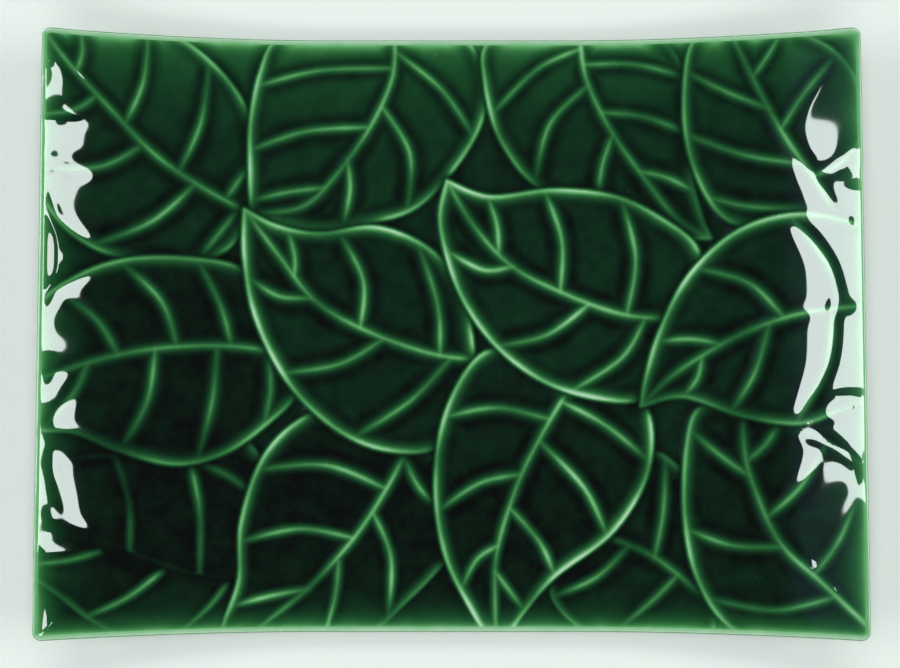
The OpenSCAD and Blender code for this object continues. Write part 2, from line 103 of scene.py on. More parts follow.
# The drawing of the part's source, the lowest leaf first, in the order of the fields above.
LEAVES: tuple[Leaf, ...] = (
    Leaf("bottom_left", (-80, -98), (-190, -88), (-105, -101, -135, -98, -160, -91),
        (-76, -125, -100, -136, -130, -133, -150, -124, -164, -112, -177, -101),
        (-85, -85, -120, -75, -165, -72), ((-92, -101, -103.5, -117.5, -119, -131),
        (-122, -101, -138, -113.5, -157, -122), (-150, -94, -162, -97, -179, -98)),
        Crests(0.12, 0.42, 0.2, 0.6), 0.0, 0.2),
    Leaf("lower_left", (-84, -73), (-190, -58), (-96, -63, -115, -55, -145, -53),
        (-82, -98, -97, -106, -118, -102, -142, -92, -160, -83, -178, -73),
        (-82, -58, -100, -40, -140, -30, -175, -40), ((-113, -56, -108.7, -78, -108.5, -104),
        (-144, -53, -138, -74, -137.5, -94), (-169.5, -53, -166, -64, -161, -83)),
        Crests(0.42, 0.1, 0.4, 0.56), 0.0),
    Leaf("top_left", (-90, 53), (-178, 134), (-110, 64, -130, 78, -150, 99, -165, 116),
        (-97, 38, -115, 30, -140, 32, -155, 37, -168, 48, -177, 66, -184, 100),
        (-85, 68, -86, 85, -93, 103, -106, 119, -122, 130, -150, 140), ((-95, 52, -102, 43, -111, 31),
        (-112, 65, -130, 48, -154, 37), (-136, 80, -152, 70.8, -177, 68.5),
        (-154, 101, -163, 94.5, -181, 91), (-98, 60, -94, 66, -86, 77), (-118.5, 71, -110, 92, -106.5, 119),
        (-141, 91.5, -134.3, 109.5, -132, 135), (-161, 112, -159, 122, -161.5, 139)),
        Crests(0.66, 0.55, 0.7, 0.55), 0.095, 1.0, 0.5),
    Leaf("bottom_centre_right", (114, -118), (56, -82), (103, -109, 87, -97, 71, -90),
        (108, -135, 80, -140, 57, -129, 44, -115, 45, -98), (118, -95, 108, -70, 96, -57, 86, -53, 66, -62),
        ((98, -105, 86.3, -117, 68, -132), (77, -93, 63, -106.5, 44, -115), (88, -98, 92, -78, 93, -56)),
        Crests(0.55, 0.5, 0.45, 0.55), 0.09),
    Leaf("top_centre_left", (-25, 131), (-88, 52), (-26.3, 113, -36, 91, -52, 68.5, -66, 55.5),
        (-5, 137, 9, 127, 15, 110, 13, 93, 2, 74, -15, 56, -35, 49, -62, 46),
        (-50, 139, -76, 131, -84.7, 115, -88.7, 92, -88.7, 70), ((-25, 125, -4.5, 108, 10, 87),
        (-30.5, 100, -18.3, 79, -19.5, 53), (-46, 77, -44.8, 63, -47.8, 47),
        (-27, 117.5, -60, 116.2, -86.5, 109), (-38, 91, -65, 89, -90, 80), (-57, 64, -72, 62, -88, 58)),
        Crests(0.66, 0.7, 0.7, 0.61), 0.12),
    Leaf("top_centre_right", (57, 131), (113, 41), (60, 112, 70.3, 90, 85, 68, 99.5, 49),
        (77, 138, 95, 127, 103, 112, 106, 90, 105, 70, 109, 51),
        (35, 139, 15.7, 128, 14.8, 112, 18.7, 93, 25.3, 79.5, 35.5, 67, 58, 51, 85, 43),
        ((59, 119, 81, 118.9, 102, 113), (67, 97.5, 85, 95.3, 106, 87), (83, 71, 95, 68, 106, 62),
        (57, 126, 38, 117, 18, 97), (61, 110, 43.7, 92.7, 37, 67), (71.5, 88, 66.3, 72, 64, 49)),
        Crests(0.61, 0.35, 0.65, 0.55), 0.1),
    Leaf("top_right", (168, 42), (120, 137), (156, 65, 143, 87, 131, 112),
        (145, 44, 122, 48, 110, 63, 103, 87, 103, 113, 107, 129),
        (176, 58, 178, 76, 176, 93, 173.5, 104, 169, 114, 160, 124, 145, 131),
        ((158, 52, 131, 54.2, 112, 59), (152, 72, 128, 77, 103, 87), (138, 97, 121.5, 104.8, 104, 114.5),
        (155.5, 66.5, 166, 71.5, 177, 85), (143, 88, 151.5, 101.5, 163, 116),
        (132, 112, 137, 119, 144, 131)), Crests(0.66, 0.55, 0.5, 0.55), 0.085),
    Leaf("left", (-78, -8), (-188, -26), (-100, -6, -125, -7, -150, -12),
        (-68, -25, -82, -41, -100, -53, -120, -57, -142, -51, -160, -43, -177, -41),
        (-80, 15, -93, 28, -115, 32, -140, 31, -160, 23, -176, 8), ((-80, -8, -79, -25, -82, -41),
        (-102, -6, -104, -30, -110, -56), (-128, -7, -131, -30, -142, -51),
        (-155, -13.5, -160, -26, -171, -41), (-96, -6, -101, 12, -111, 32),
        (-119, -6, -125.8, 13.3, -142, 29.5), (-143, -10, -152, 5, -167, 17)), Crests(0.64, 0.6, 0.62, 0.5),
        0.03, 1.0, 0.6),
    Leaf("bottom_centre_left", (-18, -48), (-100, -142), (-27, -66, -42, -89, -62, -111, -82, -127),
        (4, -66, 4, -90, -7, -104, -20, -117, -34, -129, -65, -142),
        (-40, -32, -63, -36.7, -81.2, -53.5, -91.2, -82, -92, -107, -98.5, -127),
        ((-20, -56, -13, -69, 4, -84), (-34, -79, -26.3, -98, -27.3, -124),
        (-49, -100, -50.8, -116, -57.5, -140), (-29, -68, -55, -58, -85, -60),
        (-43, -89.5, -66, -85.6, -92, -91), (-62, -111.5, -78, -114.3, -95, -118.5)),
        Crests(0.68, 0.5, 0.72, 0.64), 0.035),
    Leaf("bottom_right", (180, -130), (126, -34), (157, -107, 140, -90, 129, -64, 126, -48),
        (150, -141, 120, -127, 106, -106, 101, -80, 102, -50, 108, -33),
        (186, -95, 182, -66, 171, -55.5, 162, -49, 148, -41), ((162, -112, 138, -119, 111, -115),
        (142, -92, 121, -92, 101, -85), (128, -62, 117, -54, 103, -42), (153, -104, 163.5, -88, 173, -63),
        (136, -79, 149, -66, 160, -46), (128, -55, 135, -48.5, 141.5, -38)), Crests(0.66, 0.6, 0.35, 0.5),
        0.055),
    Leaf("centre_left", (10, -12), (-91, 54), (-10, -9, -38, 1, -60, 14, -76, 34),
        (8, -32, -6, -50, -30, -51, -52, -41, -72, -21, -86, 7, -91, 34),
        (6, 12, -7, 34.5, -32, 46.3, -58, 43.6, -77, 47), ((0, -11, -18, -30, -43, -46),
        (-30, -3, -49, -13.8, -74, -18), (-62, 15, -76, 16, -89, 24), (-5, -10, -6, 12, -15, 40),
        (-40, 2, -38.8, 23, -49.5, 44), (-69, 25, -69, 34, -72, 45)), Crests(0.75, 0.8, 0.75, 0.64), 0.075),
    Leaf("bottom_centre", (50, -27), (20, -138), (40, -44, 29, -66, 20, -95, 19, -118),
        (72, -20, 86, -36, 85, -62, 70, -87, 45, -106, 31, -122),
        (32, -10, 13, -10, -2, -34, -7, -65, -3, -96, 9, -121), ((48, -30, 68, -41, 86, -56),
        (39, -48, 58, -68, 68, -89), (26, -77, 38.6, -91.6, 45, -106), (19, -104, 25, -112, 32, -121),
        (43, -38, 20, -33, -3, -37), (30, -62, 12, -66, -6, -78), (20, -93, 11, -99, 4, -112)),
        Crests(0.72, 0.8, 0.75, 0.68), 0.065),
    Leaf("centre_right", (95, 6), (-2, 67), (75, 8, 50, 17, 27, 29, 10, 47),
        (97, -15, 83, -29, 60, -28, 38, -20, 18, -4, 3, 19, -5, 48),
        (108, 20, 107, 37, 92, 50, 72, 60, 45, 63, 17, 60), ((85, 6, 74.6, -11.2, 52, -26),
        (60, 12, 42, -1, 20, -6), (27, 29, 14, 27.6, -2, 36), (77, 8, 81, 33, 75, 59),
        (48, 18, 48.6, 41, 41, 63), (21, 36, 20, 48, 16, 60)), Crests(0.77, 0.82, 0.8, 0.73), 0.095),
    Leaf("right", (184, 11), (83, -32), (152, 8, 128, 0, 108, -11, 94, -21),
        (187, -12, 176, -28, 163, -34.5, 148, -39.5, 125, -36, 101, -28),
        (188, 37, 174, 44.5, 150, 50.5, 125, 44, 104, 25, 91, 0, 85, -20),
        ((162, 9.5, 159.5, -14, 147.5, -39), (137, 3, 130.8, -18, 121, -34.5),
        (109, -11, 107, -20, 101, -28), (164.5, 10, 160, 29, 146, 49.5), (143, 6, 129, 21, 107, 28),
        (116, -5, 104, -3, 90, -4)), Crests(0.66, 0.5, 0.75, 0.57), 0.08, 1.0, 2.0),
)


def linear(hex_colour: str) -> tuple[float, ...]:
    """Linear red, green, blue and alpha of an sRGB colour, given as six hex digits after a hash."""
    srgb = np.array([int(hex_colour[k:k + 2], 16) for k in (1, 3, 5)]) / 255
    return (*np.where(srgb <= 0.04045, srgb / 12.92, ((srgb + 0.055) / 1.055) ** 2.4).tolist(), 1.0)


def smoothstep(t: Array) -> Array:
    """Cubic step 3t^2 - 2t^3, held between 0 and 1."""
    t = np.clip(t, 0, 1)
    return t * t * (3 - 2 * t)


def band(values: Array, span: Point) -> Array:
    """Cubic step from 0 at the span's start to 1 at the end of its run."""
    return smoothstep((values - span[0]) / span[1])


def swell(distance: Array, width: float | Array) -> Array:
    """Bell curve exp(-(d / w)^2)."""
    return np.exp(-(distance / width) ** 2)


def ridge(distance: Array, crest: float, spread: float) -> Array:
    """Ridge rounded by c at its crest, which falls to 1/e over each s: exp((c - sqrt(d^2 + c^2)) / s)."""
    return np.exp((crest - np.sqrt(distance ** 2 + crest ** 2)) / spread)


def curl(distance: Array, size: Point) -> Array:
    """Rise h (1 - d / w)^2 towards an edge at distance d, for a size of height h and width w."""
    return size[0] * np.maximum(1 - distance / size[1], 0) ** 2


def blend(parts: Iterable[Array], power: int = 4) -> Array:
    """Smooth maximum of the parts: the root of the sum of their powers."""
    return sum(part ** power for part in parts) ** (1 / power)


def unit(vectors: Array) -> Array:
    """Vectors scaled to length 1; those without length stay as they are."""
    return vectors / np.maximum(np.linalg.norm(vectors, axis=-1, keepdims=True), TINY)


def smooth_curve(line: Line, steps: int) -> Array:
    """Smooth curve through the points of a line.

    Between two points b and c with neighbours a and d the curve is the cubic that passes b and c with the
    directions (c - a) / 2 and (d - b) / 2.

    Args:
        line: The points that the curve passes.
        steps: Number of straight steps that it is drawn with.

    Returns:
        An array of steps + 1 points.
    """
    p = np.array(line, float).reshape(-1, 2)
    s = np.linspace(0, len(p) - 1, steps + 1)
    i = np.minimum(s.astype(int), len(p) - 2)
    t = (s - i)[:, None]
    a, b, c, d = p[np.maximum(i - 1, 0)], p[i], p[i + 1], p[np.minimum(i + 2, len(p) - 1)]
    square, cube = 2 * a - 5 * b + 4 * c - d, 3 * b - a - 3 * c + d
    return b + (c - a) * t / 2 + square * t ** 2 / 2 + cube * t ** 3 / 2


def curve_distance(curve: Array, x: Array, y: Array) -> tuple[Array, Array]:
    """Distance from every point to a curve, and how far along the curve the nearest place lies.

    For a step from a to b the nearest place is a + t (b - a), with t the projection held between 0 and 1;
    the least of these distances over all steps is kept.

    Args:
        curve: Points of the curve, one row each.
        x: Plan positions along the length.
        y: Plan positions along the depth.

    Returns:
        The distances in millimetres, and the share of the curve's steps up to the nearest place.
    """
    least = np.full(x.shape, np.inf)
    share = np.zeros(x.shape)
    for k in range(len(curve) - 1):
        a, run = curve[k], curve[k + 1] - curve[k]
        t = np.clip(((x - a[0]) * run[0] + (y - a[1]) * run[1]) / (run @ run), 0, 1)
        gap = (x - a[0] - t * run[0]) ** 2 + (y - a[1] - t * run[1]) ** 2
        share = np.where(gap < least, (k + t) / (len(curve) - 1), share)
        least = np.minimum(least, gap)
    return np.sqrt(least), share


def inside_outline(outline: Array, x: Array, y: Array) -> Array:
    """True where a ray along +X crosses the closed outline an odd number of times.

    Args:
        outline: Corners of the outline, one row each.
        x: Plan positions along the length.
        y: Plan positions along the depth.

    Returns:
        A mask of the points inside.
    """
    odd = np.zeros(x.shape, bool)
    for a, b in zip(outline, np.roll(outline, -1, axis=0)):
        if a[1] == b[1]:
            continue
        spans = (a[1] > y) != (b[1] > y)
        odd ^= spans & (x < a[0] + (b[0] - a[0]) * (y - a[1]) / (b[1] - a[1]))
    return odd


def soften(values: Array, width: float) -> Array:
    """Blurs a grid of values with a bell curve, cut off at three deviations, first down and then across.

    Args:
        values: The grid.
        width: Standard deviation of the bell curve in cells.

    Returns:
        The blurred grid.
    """
    reach = int(np.ceil(3 * width))
    weights = np.exp(-0.5 * (np.arange(-reach, reach + 1) / width) ** 2)
    weights /= weights.sum()
    for axis in (0, 1):
        padded = np.pad(values, [(reach, reach) if a == axis else (0, 0) for a in (0, 1)], mode="edge")
        size = values.shape[axis]
        values = sum(w * np.take(padded, np.arange(k, k + size), axis) for k, w in enumerate(weights))
    return values


@dataclass
class Patch:
    """A triangulated surface in millimetres with its own shading normals and glaze thinness."""

    points: Array
    triangles: Array
    normals: Array | None
    thinness: Array

    def corner_normals(self) -> Array:
        """Normals at the corners of the triangles.

        Returns:
            The patch's own normals or, where it has none, those of its flat triangles.
        """
        if self.normals is not None:
            return self.normals[self.triangles.ravel()]
        t = self.points[self.triangles]
        return np.repeat(unit(np.cross(t[:, 1] - t[:, 0], t[:, 2] - t[:, 0])), 3, axis=0)


def cell_corners(index: Array) -> tuple[Array, Array, Array, Array]:
    """Numbers of the four corners of every cell of a grid, in turn."""
    return index[:-1, :-1], index[:-1, 1:], index[1:, 1:], index[1:, :-1]


def grid_patch(points: Array, thinness: Array, closed: bool = False, flip: bool = False) -> Patch:
    """Surface through a grid of points, with normals from the cross product of its two directions.

    Args:
        points: Array of rows by columns by 3.
        thinness: Glaze thinness at each point.
        closed: True if the last column joins the first.
        flip: True to turn the faces over.

    Returns:
        The patch.
    """
    rows, columns = points.shape[:2]
    index = np.arange(rows * columns).reshape(rows, columns)
    wide = np.concatenate([index, index[:, :1]], axis=1) if closed else index
    a, b, c, d = (corner.ravel() for corner in cell_corners(wide))
    triangles = np.concatenate([np.stack([a, b, c], 1), np.stack([a, c, d], 1)])
    if closed:
        padded = np.concatenate([points[:, -1:], points, points[:, :1]], axis=1)
        along = (padded[:, 2:] - padded[:, :-2]) / 2
    else:
        along = np.gradient(points, axis=1)
    normals = unit(np.cross(along, np.gradient(points, axis=0)))
    if flip:
        triangles, normals = triangles[:, ::-1], -normals
    return Patch(points.reshape(-1, 3), triangles, normals.reshape(-1, 3), thinness.ravel())


def rounded_path(half_x: float, half_y: float, step: float, corner_steps: int) -> Path:
    """Path round a rectangle whose corners turn on the spot, so that offsets of it have round corners.

    Args:
        half_x: Half the length of the rectangle of corner centres.
        half_y: Half its depth.
        step: Greatest step along the straight sides.
        corner_steps: Steps round each corner.

    Returns:
        The points on the rectangle and the outward directions, anticlockwise from above.
    """
    run_x, run_y = (np.linspace(-h, h, int(np.ceil(2 * h / step)) + 1) for h in (half_x, half_y))
    turn = np.linspace(0, np.pi / 2, corner_steps + 1)[1:-1]
    spots, ways = [], []
    for side, run in enumerate((run_y, run_x[::-1], run_y[::-1], run_x)):
        fixed = np.full(len(run), (half_x, half_y, -half_x, -half_y)[side])
        line = np.stack([run, fixed] if side % 2 else [fixed, run], 1)
        angle = side * np.pi / 2
        spots += [line, np.repeat(line[-1:], len(turn), 0)]
        ways += [np.tile([np.cos(angle), np.sin(angle)], (len(run), 1)),
                 np.stack([np.cos(angle + turn), np.sin(angle + turn)], 1)]
    return np.concatenate(spots), np.concatenate(ways)


def carry(path: Path, reach: Array, height: Callable[[Array], Array], thinness: Array) -> Patch:
    """Carries a section round a path.

    Args:
        path: Points of the path and its outward directions.
        reach: Distance out from the path for each row, or for each row and path point.
        height: Gives the heights over the table from the positions along the length.
        thinness: Glaze thinness for each row, or for each row and path point.

    Returns:
        A patch that faces out of the body, with one row for each point of the section.
    """
    spots, ways = path
    shape = len(thinness), len(spots)
    plan = spots + np.broadcast_to(reach, shape)[..., None] * ways
    points = np.concatenate([plan, height(plan[..., 0])[..., None]], -1)
    glaze = np.broadcast_to(thinness.reshape(len(thinness), -1), shape)
    return grid_patch(points, glaze, closed=True, flip=True)


def add_object(name: str, data: bpy.types.ID) -> bpy.types.Object:
    """Puts a mesh, a lamp or a camera into the scene as an object."""
    bpy.context.scene.collection.objects.link(item := bpy.data.objects.new(name, data))
    return item


def make_piece(node: str, finish: str, patches: list[Patch], material: Material) -> None:
    """Welds patches into one closed mesh that stands for a CAD node.

    Points that fall together are merged, while every face keeps the shading normals of its own patch.

    Args:
        node: CAD node that the piece replaces.
        finish: Word that follows the node in the name of the piece.
        patches: The surfaces, which meet along their borders.
        material: Finish of the piece.
    """
    name = f"{node}_{finish}"
    points = np.concatenate([p.points for p in patches])
    thinness = np.concatenate([p.thinness for p in patches])
    starts = np.cumsum([0] + [len(p.points) for p in patches[:-1]])
    triangles = np.concatenate([p.triangles + s for p, s in zip(patches, starts)])
    normals = np.concatenate([p.corner_normals() for p in patches]).reshape(-1, 3, 3)
    rounded = np.round(points, WELD_DIGITS)
    _, first, merged = np.unique(rounded, axis=0, return_index=True, return_inverse=True)
    triangles = merged.ravel()[triangles]
    kept = np.all(triangles != np.roll(triangles, 1, axis=1), axis=1)
    triangles, normals = triangles[kept], normals[kept].reshape(-1, 3)
    mesh = bpy.data.meshes.new(name)
    mesh.vertices.add(len(first))
    mesh.vertices.foreach_set("co", (points[first] * MM).astype(np.float32).ravel())
    mesh.loops.add(triangles.size)
    mesh.loops.foreach_set("vertex_index", triangles.astype(np.int32).ravel())
    mesh.polygons.add(len(triangles))
    mesh.polygons.foreach_set("loop_start", np.arange(0, triangles.size, 3, dtype=np.int32))
    mesh.update(calc_edges=True)
    glaze = mesh.attributes.new("glaze_thinness", "FLOAT", "POINT")
    glaze.data.foreach_set("value", thinness[first].astype(np.float32))
    mesh.normals_split_custom_set(normals)
    mesh.materials.append(material)
    piece = add_object(name, mesh)
    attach(piece, "root")
    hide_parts(node)
    LOG.info("piece %s: %d triangles", name, len(triangles))


@dataclass(frozen=True)
class PlatterForm:
    """Sizes of the moulded body in millimetres, the same as in the part's source."""

    length: float = 350.0
    depth: float = 260.0
    slab: float = 6.0
    corner: float = 4.0
    lip: float = 2.4
    flat: float = 100.0
    bend: float = 380.0
    slope: float = 16.0
    foot: float = 3.0

    @property
    def inner_half(self) -> Point:
        """Half the length and half the depth inside the lip."""
        return self.length / 2 - self.lip, self.depth / 2 - self.lip

    def face(self, x: Array) -> Array:
        """Height of the slab's upper face: level floor, then an arc, then a straight slope.

        Args:
            x: Positions along the length.

        Returns:
            Heights over the table.
        """
        tilt = np.radians(self.slope)
        past = np.maximum(np.abs(x) - self.flat / 2, 0)
        reach = self.bend * np.sin(tilt)
        arc = self.bend - np.sqrt(self.bend ** 2 - np.minimum(past, reach) ** 2)
        return self.foot + self.slab + arc + np.maximum(past - reach, 0) * np.tan(tilt)

    def from_lip(self, x: Array, y: Array) -> Array:
        """Distance in from the inner line of the lip, a rectangle with round corners.

        Args:
            x: Plan positions along the length.
            y: Plan positions along the depth.

        Returns:
            The distances, positive inside.
        """
        over_x = np.abs(x) - (self.length / 2 - self.corner)
        over_y = np.abs(y) - (self.depth / 2 - self.corner)
        outside = np.hypot(np.maximum(over_x, 0), np.maximum(over_y, 0))
        return self.corner - self.lip - outside - np.minimum(np.maximum(over_x, over_y), 0)


@dataclass(frozen=True)
class Bead:
    """Bead of glaze near an end, a bell curve in plan, in millimetres; a hollow if the height is negative."""

    x: float
    y: float
    height: float
    reach_x: float
    reach_y: float

    def rise(self, x: Array, y: Array) -> Array:
        """Height of the bead: h exp(-(dx / a)^2 - (dy / b)^2)."""
        return self.height * swell(x - self.x, self.reach_x) * swell(y - self.y, self.reach_y)


# Beads along the right end and then along the left, from the back to the front.
BEADS: tuple[Bead, ...] = (
    Bead(158, 129, -0.3, 12, 5), Bead(178, 75, 0.35, 10, 9), Bead(174, 66, -0.5, 7, 4.5),
    Bead(169, -29.5, -0.45, 10, 4.5), Bead(160, -34.5, -0.3, 5, 4), Bead(158, -44, 0.15, 7, 8),
    Bead(177, -59, -0.4, 7, 8), Bead(169, -61, 0.12, 9, 8), Bead(-178, 111, 0.22, 10, 7),
    Bead(-169, 105, -0.1, 6, 8), Bead(-164, 93, -0.12, 6, 3), Bead(-178, 89.5, 0.4, 16, 4),
    Bead(-171, 76, 0.25, 10, 16), Bead(-166, 75, -0.14, 6, 4), Bead(-161, 66.5, 0.12, 6, 3.5),
    Bead(-170, 4, -0.12, 6, 6), Bead(-176, -13, -0.3, 6, 4.5), Bead(-150, -26, 0.15, 7, 12),
    Bead(-176, -35, -0.3, 8, 5), Bead(-171, -36, 0.22, 7, 6), Bead(-172, -46, -0.3, 6, 5),
    Bead(-170, -88, -0.1, 6, 9), Bead(-178, -93, 0.35, 10, 3), Bead(-176, -118, -0.5, 8, 9),
)


@dataclass(frozen=True)
class RimGlow:
    """How the glaze thins towards one side of the lip: near exp(-d / reach) + far exp(-d / far_reach).

    In the pools beside the ridges only the pooled share of the far part is left.
    """

    near: float
    reach: float
    far: float
    far_reach: float
    pooled: float = 0.15

    def thinness(self, distance: Array, clear: Array) -> Array:
        """Thinness at that distance from the lip and at that share of clearance from the ridges."""
        far = self.far * (self.pooled + (1 - self.pooled) * clear)
        return self.near * np.exp(-distance / self.reach) + far * np.exp(-distance / self.far_reach)


@dataclass
class Relief:
    """The glazed upper face as one height field z(x, y) over the inside of the lip, in millimetres.

    Glaze levels the moulded clay, so the leaves show mostly as changes of glaze thickness, and only softly as
    swellings of the glossy surface. A band is its start and its run, a ridge its rounding and its spread, and
    a cove or sag its height and width.
    """

    form: PlatterForm
    cell: float = 0.6
    window: float = 12.0
    snap: float = 0.5
    least_slope: float = 0.5
    least_area: float = 0.1
    lip_cells: float = 2.0
    fold_rounds: int = 3
    seat: float = -0.6
    ground_level: float = 0.1
    ground_thinness: float = 0.08
    uneven_share: float = 0.28
    blade_level: float = 0.25
    margin_swell: float = 0.2
    midrib_swell: float = 0.22
    vein_swell: float = 0.15
    swell_width: float = 3.4
    inland_width: float = 3.0
    margin_fall: float = 2.4
    end_fall: float = 1.6
    groove_depth: float = 0.07
    groove_place: float = 4.0
    groove_width: float = 2.2
    crest_gain: float = 1.07
    margin_ridge: Point = (0.5, 1.85)
    rib_ridge: Point = (0.7, 1.22)
    outer_glow: float = 1.15
    drown_reach: float = 3.6
    side_blend: float = 12.0
    midrib_taper: float = 0.35
    vein_tip: Point = (0.62, 0.38)
    tip_loss: float = 0.5
    vein_root: float = 0.25
    root_loss: float = 0.25
    panel_band: Point = (4.5, 5.0)
    clear_band: Point = (1.5, 6.5)
    outer_clear: float = 8.0
    flow: float = 1.2
    end_band: Point = (112.0, 36.0)
    end_cove: Point = (2.2, 34.0)
    end_sag: Point = (1.46, 75.0)
    side_cove: Point = (0.85, 14.0)
    left_hollow: float = 0.9
    lip_reach: float = 5.0
    # Painted shade that grows to the front, brighter ridges there, and a darker patch at the left.
    front_band: Point = (30.0, 70.0)
    side_band: Point = (40.0, 80.0)
    front_gain: float = 0.12
    front_painted_shade: float = 0.048
    left_shade_gain: float = 0.6
    right_shade_cut: float = 0.8
    dark_patch_centre: Point = (-153.0, -64.0)
    dark_patch_reach: Point = (22.0, 24.0)
    dark_patch_depth: float = 0.72
    back_rim: RimGlow = RimGlow(0.47, 2.6, 0.36, 27.0)
    front_rim: RimGlow = RimGlow(0.66, 3.3, 0.08, 27.0)
    end_rim: RimGlow = RimGlow(0.54, 4.2, 0.12, 20.0)
    x: Array = field(init=False)
    y: Array = field(init=False)
    rise: Array = field(init=False)
    thinness: Array = field(init=False)
    sides: Array = field(init=False)
    triangles: Array = field(init=False)
    owner: Array = field(init=False)

    def __post_init__(self) -> None:
        """Lays the lattice, fits it to the leaf outlines and works out heights and thinness."""
        self._lay_lattice()
        self._measure_outlines()
        on_line = self._fit_to_outlines()
        self._measure_outlines()
        self._lay_leaves()
        self._share_out(on_line)

    def _lay_lattice(self) -> None:
        """Square lattice inside the lip, its corners drawn in from the square to the quarter circle."""
        half = np.array(self.form.inner_half)
        radius = self.form.corner - self.form.lip
        x, y = np.meshgrid(*(np.linspace(-h, h, round(2 * h / self.cell) + 1) for h in half))
        a = np.maximum((np.abs(x) - half[0] + radius) / radius, 0)
        b = np.maximum((np.abs(y) - half[1] + radius) / radius, 0)
        corner = (a > 0) & (b > 0)
        draw_in = np.where(corner, np.maximum(a, b) / np.maximum(np.hypot(a, b), TINY), 1)
        self.x = np.where(corner, np.sign(x) * (half[0] - radius + a * radius * draw_in), x)
        self.y = np.where(corner, np.sign(y) * (half[1] - radius + b * radius * draw_in), y)

    def _window(self, leaf: Leaf) -> tuple[slice, slice]:
        """Part of the lattice that lies near a leaf.

        Args:
            leaf: The leaf.

        Returns:
            Its rows and its columns.
        """
        drawn = np.array(leaf.base + leaf.tip + leaf.left + leaf.right).reshape(-1, 2)
        low, high = drawn.min(0) - self.window, drawn.max(0) + self.window
        middle = self.x[self.x.shape[0] // 2], self.y[:, self.y.shape[1] // 2]
        spans = [np.searchsorted(m, (l, h)) for m, l, h in zip(middle, low, high)]
        return slice(*spans[1]), slice(*spans[0])

    def _measure_outlines(self) -> None:
        """Signed distance of every lattice point from every leaf outline, positive inside."""
        self.sides = np.full((len(LEAVES),) + self.x.shape, FAR_OUTSIDE)
        for k, leaf in enumerate(LEAVES):
            at = self._window(leaf)
            x, y = self.x[at], self.y[at]
            outline = np.concatenate([leaf.curve(leaf.left), leaf.curve(leaf.right)[-2:0:-1]])
            gap, _ = curve_distance(np.concatenate([outline, outline[:1]]), x, y)
            self.sides[(k,) + at] = np.where(inside_outline(outline, x, y), gap, -gap)

    def _fit_to_outlines(self) -> Array:
        """Moves lattice points that lie near a visible outline onto it, along the slope of the distance.

        Cells that fold over, or nearly, get their points back.

        Returns:
            A mask of the points that lie on an outline.
        """
        near = self.cell * self.snap
        shift = np.zeros(self.x.shape + (2,))
        on_line = np.zeros(self.x.shape, bool)
        for k, side in enumerate(self.sides):
            fall_y, fall_x = np.gradient(side, self.cell)
            size = np.maximum(fall_x ** 2 + fall_y ** 2, self.least_slope)
            here = (np.abs(side) < near) & ~np.any(self.sides[k + 1:] > near, axis=0)
            here[[0, -1]] = False
            here[:, [0, -1]] = False
            shift[here] = np.stack([-side * fall_x / size, -side * fall_y / size], -1)[here]
            on_line |= here
        for _ in range(self.fold_rounds):
            x, y = self.x + shift[..., 0], self.y + shift[..., 1]
            across, down = (np.stack([np.diff(x, axis=a), np.diff(y, axis=a)], -1) for a in (1, 0))
            turn = [np.cross(across[r], down[:, c]) for r in HALVES for c in HALVES]
            folded = np.min(turn, axis=0) < self.least_area * self.cell ** 2
            keep = np.zeros(x.shape, bool)
            for r in HALVES:
                for c in HALVES:
                    keep[r, c] |= folded
            keep &= self.form.from_lip(self.x, self.y) > self.lip_cells * self.cell
            shift[keep] = 0
            on_line &= ~keep
        self.x, self.y = self.x + shift[..., 0], self.y + shift[..., 1]
        return on_line

    def cove(self, x: Array, y: Array) -> Array:
        """Curl of the glaze towards the ends and the long sides, less a longer sag, with the beads on top.

        Args:
            x: Plan positions along the length.
            y: Plan positions along the depth.

        Returns:
            Heights over the slab's face.
        """
        half_x, half_y = self.form.inner_half
        from_end, from_side = half_x - np.abs(x), half_y - np.abs(y)
        rise = blend((curl(from_end, self.end_cove), curl(from_side, self.side_cove)))
        return rise - curl(from_end, self.end_sag) + sum(bead.rise(x, y) for bead in BEADS)

    @staticmethod
    def unevenness(x: Array, y: Array) -> Array:
        """Uneven pressing of the mould: three slow waves of 27 to 47 mm, mostly between -1 and 1."""
        return (np.sin(x / 7.4 + 0.4 * np.sin(y / 9.1)) + np.sin(0.6 * x / 5.0 - y / 4.9 + 1.3)
                + np.sin(y / 6.1 + x / 13.0 + 2.1)) / 2.4

